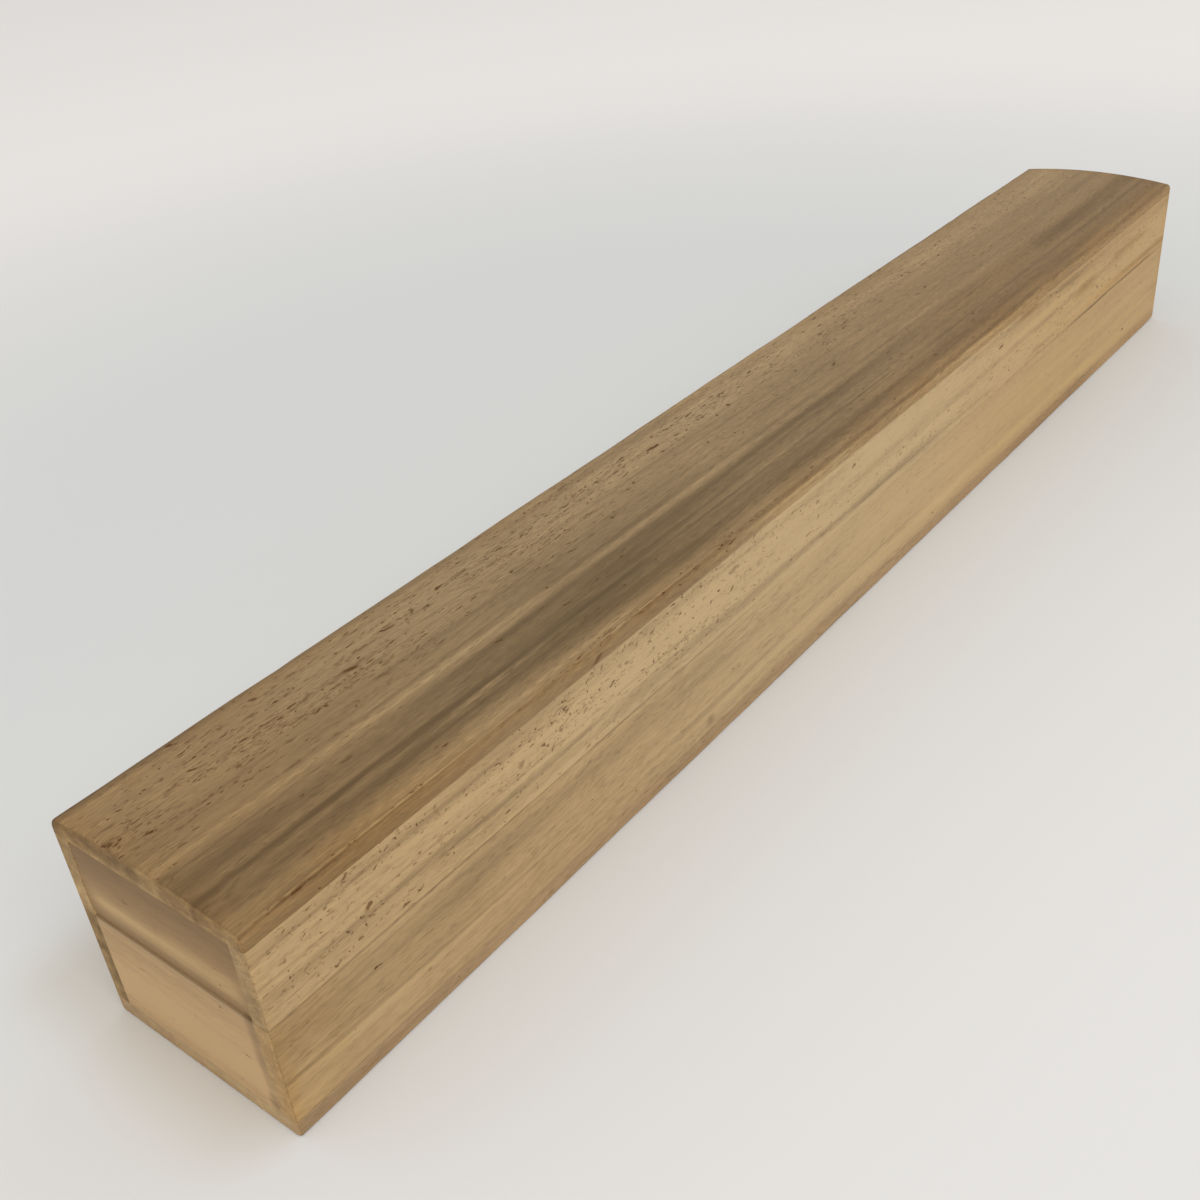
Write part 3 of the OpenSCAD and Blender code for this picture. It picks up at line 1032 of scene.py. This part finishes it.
def floor_material():
    """A pale matte sheet with faint clouds, paler far away and darker in the box's own shade.

    The shade fades with the distance from the box's footprint, moved a little to the back."""
    colours = bpy.context.scene.scroll_box_colours
    material, tree, shader = new_finish("pale_floor")
    place = add_node(tree, "ShaderNodeTexCoord").outputs["Object"]
    dull = opaque(FLOOR_DULLNESS * channel for channel in colours.floor)
    cloudy = blend_colour(tree, noise(tree, place, (3, 3, 3), 3.0), dull, opaque(colours.floor))
    reach = vector_calc(tree, "LENGTH", place)
    ahead = vector_calc(tree, "DOT_PRODUCT", place, (-0.3, -1.0, 0.0))
    outer = calc(tree, "MAXIMUM", ease_between(tree, reach, 0.3, 0.9),
                 ease_between(tree, ahead, -0.15, 0.24, 0.0, 0.5))
    open_floor = blend_colour(tree, outer, cloudy, opaque(colours.far_floor))
    folded = vector_calc(tree, "ABSOLUTE", vector_calc(tree, "SUBTRACT", place, FLOOR_SHADE_SHIFT))
    beyond = vector_calc(tree, "SUBTRACT", folded, (HALF_L, HALF_W, 0.0))
    away = vector_calc(tree, "LENGTH", vector_calc(tree, "MAXIMUM", beyond, (0.0, 0.0, 0.0)))
    shade = ease_between(tree, away, 0.0, FLOOR_SHADE_REACH, 1.0, 0.0)
    feed(tree, shader, {
        "Base Color": blend_colour(tree, shade, open_floor, opaque(colours.near_floor)),
        "Roughness": 0.9, "Specular IOR Level": 0.1})
    return material


def top_surface(sizes):
    """The crowned board: height over X and Y is the crown, less a drop round every upper arris.

    The crown is one circle's arc through both edges and the ridge. The drop at a distance d
    from an arris is ease - sqrt(ease squared - (ease - d) squared)."""
    edge_z = BOARD_LOW + sizes.edge_height
    rise = LID_TOP - edge_z
    radius = (HALF_W ** 2 + rise ** 2) / (2 * rise)
    x = stations(-HALF_L, HALF_L, sizes.top_end_ease, sizes.ring_step, sizes.arc_steps)
    front_ease, back_ease = [
        worn(sizes.top_ease, x, TOP_SEED + side, sizes.ding_depth)[:, None] for side in (FRONT, BACK)]
    inward = 1 - np.cos(np.linspace(0, np.pi / 2, sizes.arc_steps + 2))
    middle = np.linspace(0, 1, CROWN_STEPS)[1:-1]
    front_y = -HALF_W + front_ease * inward
    back_y = HALF_W - back_ease * inward[::-1]
    y = np.concatenate(
        [front_y, front_y[:, -1:] + (back_y[:, :1] - front_y[:, -1:]) * middle, back_y], 1)
    crown = LID_TOP - radius + np.sqrt(radius ** 2 - y ** 2)
    drop = inset(y + HALF_W, front_ease) + inset(HALF_W - y, back_ease)
    z = crown - drop - end_inset(x, sizes.top_end_ease)[:, None]
    y = y * (1 - end_inset(x, sizes.corner_ease) / HALF_W)[:, None]
    over = np.stack([y, z], -1)[:, ::-1]
    low = np.full_like(x, BOARD_LOW)
    foot = np.stack([np.stack([y[:, 0], low], -1), np.stack([y[:, -1], low], -1)], 1)
    return carried(x, np.concatenate([foot, over], 1))


def side_board_surface(side, inner_y, low_z, high_z, low_ease, high_ease, sizes, seed):
    """A long board on edge: a rectangle in Y and Z carried along X, drawn in at its outer corners."""
    x = stations(-HALF_L, HALF_L, sizes.corner_ease, sizes.ring_step, sizes.arc_steps)
    outer = side * (HALF_W - end_inset(x, sizes.corner_ease))
    wear = SIDE_DING_SHARE * sizes.ding_depth
    low = worn(low_ease, x, seed, wear) if low_ease else 0
    high = worn(high_ease, x, seed + HIGH_ARRIS_SEED, wear) if high_ease else 0
    if side > 0:
        corners, eases = rectangle(inner_y, outer, low_z, high_z), (0, low, high, 0)
    else:
        corners, eases = rectangle(outer, -inner_y, low_z, high_z), (low, 0, 0, high)
    return carried(x, eased_outline(corners, eases, sizes.arc_steps))


def foot_surface(sizes):
    """The bottom board: a rectangle in Y and Z carried along X, eased below and at its corners."""
    x = stations(-HALF_L, HALF_L, sizes.foot_ease, sizes.ring_step, sizes.arc_steps)
    lifted = end_inset(x, FOOT_END_SHARE * sizes.foot_ease)
    outer = HALF_W - end_inset(x, sizes.corner_ease)
    front, back = [worn(sizes.foot_ease, x, seed, sizes.ding_depth) for seed in FOOT_SEEDS]
    corners = rectangle(-outer, outer, lifted, FOOT_TOP)
    return carried(x, eased_outline(corners, (front, back, 0, 0), sizes.arc_steps))


def end_board_surface(end, node, sizes, bevel_height=0.0, bevel_depth=0.0):
    """An end board: its outline in Z and X, with any bevel at its foot, carried along Y."""
    low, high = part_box(node)
    y = np.linspace(low.y, high.y, 30)
    inner, outer = sorted((abs(low.x), abs(high.x)))
    seam = worn(sizes.seam_ease, y, END_SEED + end, END_DING_SHARE * sizes.ding_depth)
    if bevel_height:
        corners = [(low.z, inner), (high.z, inner), (high.z, outer), (low.z + bevel_height, outer),
                   (low.z, outer - bevel_depth)]
        eases = [0, 0, 0, BEVEL_EASE, seam]
    else:
        corners = rectangle(low.z, high.z, inner, outer)
        eases = [0, 0, seam, 0]
    return carried(y, eased_outline(*mirrored(corners, eases, end), sizes.arc_steps), "Y")


def lip_surface(side, sizes):
    """A lip strip: its outline in Y and Z, with a lead-in chamfer, carried along X."""
    low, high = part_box(f"{SIDE_NAMES[side]}_lip_strip")
    near, far = sorted((abs(low.y), abs(high.y)))
    chamfer = sizes.lip_chamfer
    corners = [(near, low.z), (far, low.z), (far, high.z - chamfer), (far - chamfer, high.z),
               (near, high.z)]
    eases = [0, 0, LIP_EASE_SHARE * chamfer, LIP_EASE_SHARE * chamfer, sizes.inner_ease]
    if side < 0:
        corners = [(-u, v) for u, v in reversed(corners)]
        eases = eases[::-1]
    x = np.linspace(low.x, high.x, 60)
    corners = [(np.full_like(x, u), v) for u, v in corners]
    return carried(x, eased_outline(corners, eases, 3))


def rest_surface(end, sizes):
    """A rest: a rectangle in Y and Z with a half circle cut from its top, carried along X."""
    low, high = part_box(f"{END_NAMES[end]}_scroll_rest")
    turn = np.linspace(0, -np.pi, 41)
    notch = sizes.notch_radius * np.stack([np.cos(turn), np.sin(turn)], -1) + (0, high.z)
    outline = np.concatenate([
        [(low.y, high.z), (low.y, low.z), (high.y, low.z), (high.y, high.z)], notch])
    return carried(np.array([low.x, high.x]), np.stack([outline] * 2))


def peg_places(sizes):
    """Centres of all the pegs, in rows under both walls and in a pair under each end board."""
    low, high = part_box("right_end_board")
    wall_y = (HALF_W + high.y) / 2
    end_x = (low.x + high.x) / 2
    along = np.linspace(-HALF_L + sizes.peg_inset, HALF_L - sizes.peg_inset, sizes.wall_pegs)
    rows = [(x, side * wall_y) for x in along for side in (FRONT, BACK)]
    return rows + [(end * end_x, side * sizes.end_peg_gap / 2)
                   for end in (LEFT, RIGHT) for side in (FRONT, BACK)]


def peg_surface(centre, low, high, radius, seed):
    """One peg: a circle in X and Y carried up Z, eased at both ends and trimmed a little askew."""
    ease = PEG_EASE_SHARE * radius
    z = stations(low, high, ease, PEG_STEP, 3)
    girth = radius - inset(np.minimum(z - low, high - z), ease)
    points, faces = carried(z, girth[:, None, None] * circle(1.0) + np.array(centre), "Z")
    tilt = np.random.default_rng(seed).uniform(-PEG_TILT, PEG_TILT, 2)
    points[:, 2] += (points[:, :2] - centre) @ tilt
    return points, faces


class SCROLLBOX_OT_lid_top(bpy.types.Operator):
    """Add the crowned top board of the lid"""

    bl_idname = "scroll_box.lid_top"
    bl_label = "Lid Top Board"

    def execute(self, context):
        surface = top_surface(context.scene.scroll_box_sizes)
        material = wood_material("handled_top_paulownia", TOP_LOOK)
        add_board("crowned_top_board", surface, material, LID_BODY, "lid_top_board")
        return {"FINISHED"}


class SCROLLBOX_OT_lid_rails(bpy.types.Operator):
    """Add the two long rails of the lid"""

    bl_idname = "scroll_box.lid_rails"
    bl_label = "Lid Rails"

    def execute(self, context):
        sizes = context.scene.scroll_box_sizes
        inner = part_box("lid_left_end_board")[1].y
        for side, look in ((FRONT, RAIL_LOOK), (BACK, BACK_RAIL_LOOK)):
            name = SIDE_NAMES[side]
            surface = side_board_surface(
                side, inner, SEAM_Z, BOARD_LOW, sizes.seam_ease, 0, sizes, RAIL_SEED + side)
            material = wood_material(f"pale_{name}_rail_paulownia", look)
            add_board(f"{name}_rail_board", surface, material, LID_BODY,
                      f"lid_{name}_rail")
        return {"FINISHED"}


class SCROLLBOX_OT_lid_ends(bpy.types.Operator):
    """Add the two bevelled end boards of the lid"""

    bl_idname = "scroll_box.lid_ends"
    bl_label = "Lid End Boards"

    def execute(self, context):
        sizes = context.scene.scroll_box_sizes
        material = wood_material("brown_lid_end_paulownia", LID_END_LOOK)
        for end, name in END_NAMES.items():
            node = f"lid_{name}_end_board"
            surface = end_board_surface(end, node, sizes, sizes.bevel_height, sizes.bevel_depth)
            add_board(f"{name}_lid_end_panel", surface, material, LID_BODY, node)
        return {"FINISHED"}


class SCROLLBOX_OT_walls(bpy.types.Operator):
    """Add the two long walls of the body"""

    bl_idname = "scroll_box.walls"
    bl_label = "Body Walls"

    def execute(self, context):
        sizes = context.scene.scroll_box_sizes
        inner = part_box("left_end_board")[1].y
        for side, look in ((FRONT, WALL_LOOK), (BACK, BACK_WALL_LOOK)):
            name = SIDE_NAMES[side]
            surface = side_board_surface(
                side, inner, FOOT_TOP, SEAM_Z, 0, sizes.seam_ease, sizes, WALL_SEED + side)
            material = wood_material(f"tan_{name}_wall_paulownia", look)
            add_board(f"{name}_wall_board", surface, material, BOX_BODY, f"{name}_wall")
        return {"FINISHED"}


class SCROLLBOX_OT_ends(bpy.types.Operator):
    """Add the two end boards of the body"""

    bl_idname = "scroll_box.ends"
    bl_label = "Body End Boards"

    def execute(self, context):
        sizes = context.scene.scroll_box_sizes
        material = wood_material("pale_end_paulownia", END_LOOK)
        for end, name in END_NAMES.items():
            node = f"{name}_end_board"
            surface = end_board_surface(end, node, sizes)
            add_board(f"{name}_end_panel", surface, material, BOX_BODY, node)
        return {"FINISHED"}


class SCROLLBOX_OT_foot(bpy.types.Operator):
    """Add the bottom board, drilled for its pegs, and the pegs"""

    bl_idname = "scroll_box.foot"
    bl_label = "Bottom Board and Pegs"

    def execute(self, context):
        sizes = context.scene.scroll_box_sizes
        wood = wood_material("brown_foot_paulownia", FOOT_LOOK)
        board = add_piece("foot_board", [foot_surface(sizes)], wood, BOX_BODY,
                          "bottom_board")
        places = peg_places(sizes)
        drill(board, places, sizes.peg_radius + PEG_CLEARANCE, -MM, FOOT_TOP + MM)
        even_shading(board)
        low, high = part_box("bottom_pegs")
        pegs = [peg_surface(place, low.z, high.z, sizes.peg_radius, PEG_SEED + k)
                for k, place in enumerate(places)]
        add_piece("trimmed_pegs", pegs, wood_material("hard_peg_wood", PEG_LOOK), BOX_BODY,
                  "bottom_pegs")
        return {"FINISHED"}


class SCROLLBOX_OT_inside(bpy.types.Operator):
    """Add the lip strips and the notched rests inside the body"""

    bl_idname = "scroll_box.inside"
    bl_label = "Lip Strips and Rests"

    def execute(self, context):
        sizes = context.scene.scroll_box_sizes
        material = wood_material("raw_inner_paulownia", INNER_LOOK)
        for side, name in SIDE_NAMES.items():
            add_board(f"{name}_lip", lip_surface(side, sizes), material, BOX_BODY,
                      f"{name}_lip_strip")
        for end, name in END_NAMES.items():
            block = add_piece(f"{name}_rest_block", [rest_surface(end, sizes)], material, BOX_BODY,
                              f"{name}_scroll_rest")
            soften(block, sizes.inner_ease)
        return {"FINISHED"}


class SCROLLBOX_OT_stage(bpy.types.Operator):
    """Add the floor, the soft light, the pale surroundings and the camera"""

    bl_idname = "scroll_box.stage"
    bl_label = "Stage"

    def execute(self, context):
        scene = context.scene
        scene.view_settings.view_transform = "Standard"
        rim = np.pad(circle(FLOOR_REACH, 96), ((0, 0), (0, 1)))
        floor = new_object("floor", [(rim, [list(range(len(rim)))])])
        floor.data.materials.append(floor_material())
        add_light("key", KEY_PLACE, KEY_SIZE, KEY_POWER, KEY_COLOUR)
        world = bpy.data.worlds.new("pale_studio")
        world.use_nodes = True
        feed(world.node_tree, world.node_tree.nodes["Background"], {
            "Color": opaque(srgb(STUDIO_GREY, STUDIO_GREY, STUDIO_GREY)),
            "Strength": STUDIO_STRENGTH})
        scene.world = world
        lens = bpy.data.cameras.new("camera")
        lens.lens = CAMERA_LENS
        lens.sensor_width = CAMERA_SENSOR
        lens.clip_start = CAMERA_CLIP
        scene.camera = put_in_scene("camera", lens)
        scene.camera.location = CAMERA_PLACE
        scene.camera.rotation_euler = [math.radians(angle) for angle in CAMERA_TURN]
        return {"FINISHED"}


def add_light(name, place, size, power, colour):
    """A square soft light that looks at the middle of the box."""
    lamp = bpy.data.lights.new(name, "AREA")
    lamp.size = size
    lamp.energy = power
    lamp.color = colour
    light = put_in_scene(name, lamp)
    x, y, z = place
    light.location = place
    light.rotation_euler = (math.atan2(math.hypot(x, y), z), 0, math.atan2(y, x) + math.pi / 2)


PIECE_OPERATORS = (
    SCROLLBOX_OT_stage, SCROLLBOX_OT_lid_top, SCROLLBOX_OT_lid_rails, SCROLLBOX_OT_lid_ends,
    SCROLLBOX_OT_walls, SCROLLBOX_OT_ends, SCROLLBOX_OT_foot, SCROLLBOX_OT_inside,
)


class SCROLLBOX_PT_panel(bpy.types.Panel):
    """Sidebar panel with the sizes, the colours and a button for each group of pieces"""

    bl_idname = "SCROLLBOX_PT_panel"
    bl_label = "Scroll Box"
    bl_space_type = "VIEW_3D"
    bl_region_type = "UI"
    bl_category = "Scroll Box"

    def draw(self, context):
        for group in (context.scene.scroll_box_sizes, context.scene.scroll_box_colours):
            column = self.layout.column(align=True)
            for name in group.__annotations__:
                column.prop(group, name)
        for operator in PIECE_OPERATORS:
            self.layout.operator(operator.bl_idname)


CLASSES = (ScrollBoxSizes, ScrollBoxColours, *PIECE_OPERATORS, SCROLLBOX_PT_panel)


def register():
    for cls in CLASSES:
        bpy.utils.register_class(cls)
    bpy.types.Scene.scroll_box_sizes = PointerProperty(type=ScrollBoxSizes)
    bpy.types.Scene.scroll_box_colours = PointerProperty(type=ScrollBoxColours)


def unregister():
    del bpy.types.Scene.scroll_box_colours
    del bpy.types.Scene.scroll_box_sizes
    for cls in reversed(CLASSES):
        bpy.utils.unregister_class(cls)


def main():
    register()
    for operator in PIECE_OPERATORS:
        group, name = operator.bl_idname.split(".")
        getattr(getattr(bpy.ops, group), name)()


if __name__ == "__main__":
    main()
